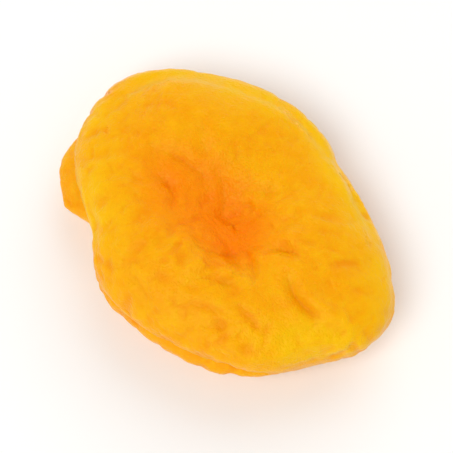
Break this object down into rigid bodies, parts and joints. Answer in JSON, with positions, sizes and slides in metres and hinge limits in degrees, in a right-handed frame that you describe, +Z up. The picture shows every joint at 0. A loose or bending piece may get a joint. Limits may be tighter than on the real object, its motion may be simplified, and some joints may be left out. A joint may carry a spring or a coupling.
{
  "type": "dried apricot",
  "caption": "Whole pitted dried apricot: a thick oval disc with a puffy rim, a wrinkled sunken bowl on top and a flat resting spot under its lower cheek.",
  "frame": {"origin": "under the middle of the fruit, on the surface that it rests on", "axes": "+Z up, from the flat resting spot to the sunken cheek; +X along the fruit's longest way"},
  "size_m": [0.0434, 0.0318, 0.0119],
  "materials": {
    "dried_flesh": "satin, soft and slightly translucent, orange in the bowl and yellower on the rim"
  },
  "bodies": {
    "root": {"fruit": "dried_flesh"}
  },
  "joints": []
}
